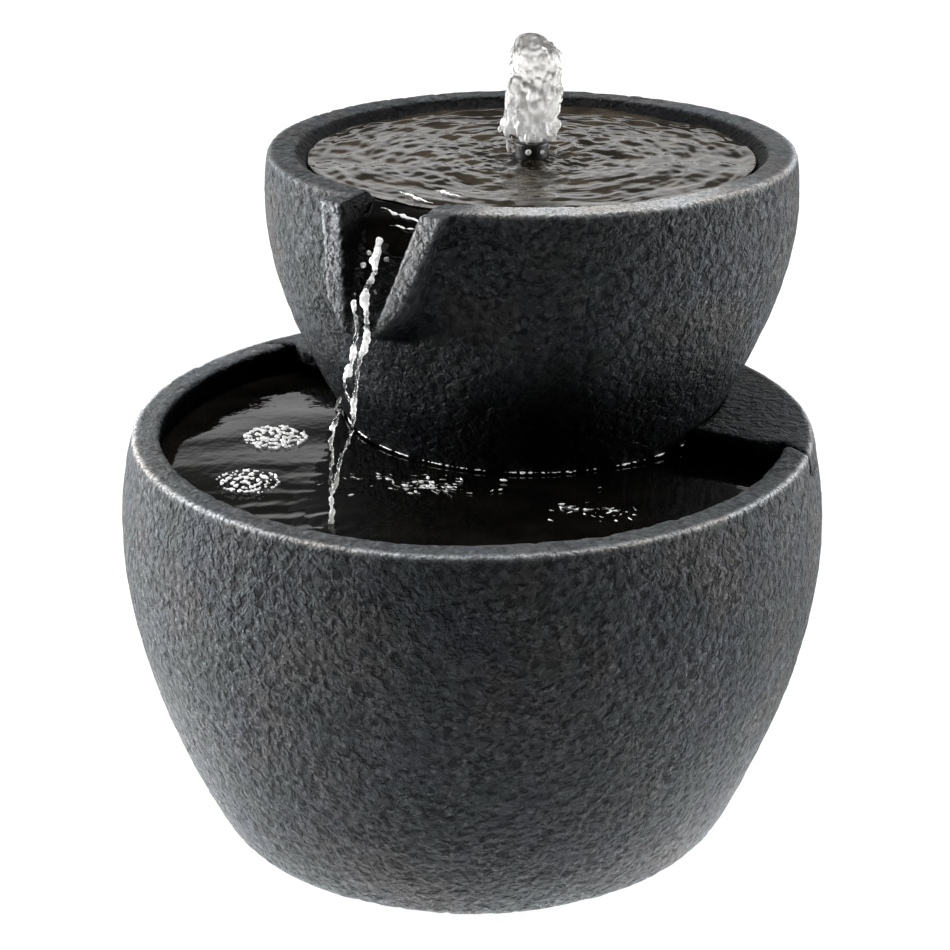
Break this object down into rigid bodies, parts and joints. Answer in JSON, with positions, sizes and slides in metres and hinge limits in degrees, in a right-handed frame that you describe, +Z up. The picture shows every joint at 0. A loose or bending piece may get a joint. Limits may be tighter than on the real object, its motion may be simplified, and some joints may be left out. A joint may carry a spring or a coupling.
{
  "type": "solar fountain",
  "caption": "Two-tier garden fountain: a small cast bowl with a spout stands on a rear deck in a larger bowl; a hidden pump lifts water to a bubbling jet.",
  "frame": {"origin": "middle of the lower bowl's underside, on the surface that it stands on", "axes": "+Z up; the spout faces -Y, and the deck with the upper bowl is towards +Y"},
  "size_m": [0.4002, 0.4171, 0.4414],
  "materials": {
    "cast_stone": "rough charcoal cast stone with pale worn edges",
    "black_plastic": "moulded matt black",
    "white_plastic": "moulded off-white",
    "grey_tube": "extruded grey tube",
    "rubber": "soft black rubber",
    "steel": "stainless steel",
    "ferrite": "sintered magnet",
    "water": "clear moving water"
  },
  "bodies": {
    "basin": {"lower_bowl": "cast_stone", "pedestal": "cast_stone", "cable_grommet": "rubber", "pump_body": "black_plastic", "pump_gasket": "rubber", "pump_volute": "black_plastic", "pump_screws": "steel", "pump_shaft": "steel", "pump_feet": "rubber", "pump_cable_gland": "rubber", "riser_tube": "grey_tube", "hose_clip": "steel", "lower_pool_water": "water"},
    "impeller": {"impeller": "white_plastic", "rotor_magnet": "ferrite"},
    "strainer": {"pump_strainer": "black_plastic"},
    "flow_dial": {"flow_dial": "white_plastic"},
    "deck": {"deck": "cast_stone", "seat_pads": "rubber"},
    "upper_bowl": {"upper_bowl": "cast_stone", "bulkhead_fitting": "black_plastic", "bulkhead_gasket": "rubber", "bulkhead_nut": "black_plastic", "riser_seal": "rubber", "standpipe": "grey_tube", "nozzle_body": "black_plastic", "nozzle_cap": "black_plastic", "upper_pool_water": "water", "water_jet": "water", "water_stream": "water"}
  },
  "joints": [
    {"name": "impeller_spin", "type": "hinge", "parent": "basin", "child": "impeller", "pos_m": [0, 0.065, 0.044], "axis": [0, 1, 0], "continuous": true},
    {"name": "strainer_pull", "type": "slide", "parent": "basin", "child": "strainer", "axis": [0, -1, 0], "range_m": [0, 0.015]},
    {"name": "flow_dial_turn", "type": "hinge", "parent": "strainer", "child": "flow_dial", "pos_m": [0, 0.0395, 0.044], "axis": [0, 1, 0], "range_deg": [0, 90]},
    {"name": "deck_lift", "type": "slide", "parent": "basin", "child": "deck", "axis": [0, 0, 1], "range_m": [0, 0.08]},
    {"name": "upper_bowl_lift", "type": "slide", "parent": "deck", "child": "upper_bowl", "axis": [0, 0, 1], "range_m": [0, 0.1], "deforming": ["water_jet", "water_stream"]}
  ]
}
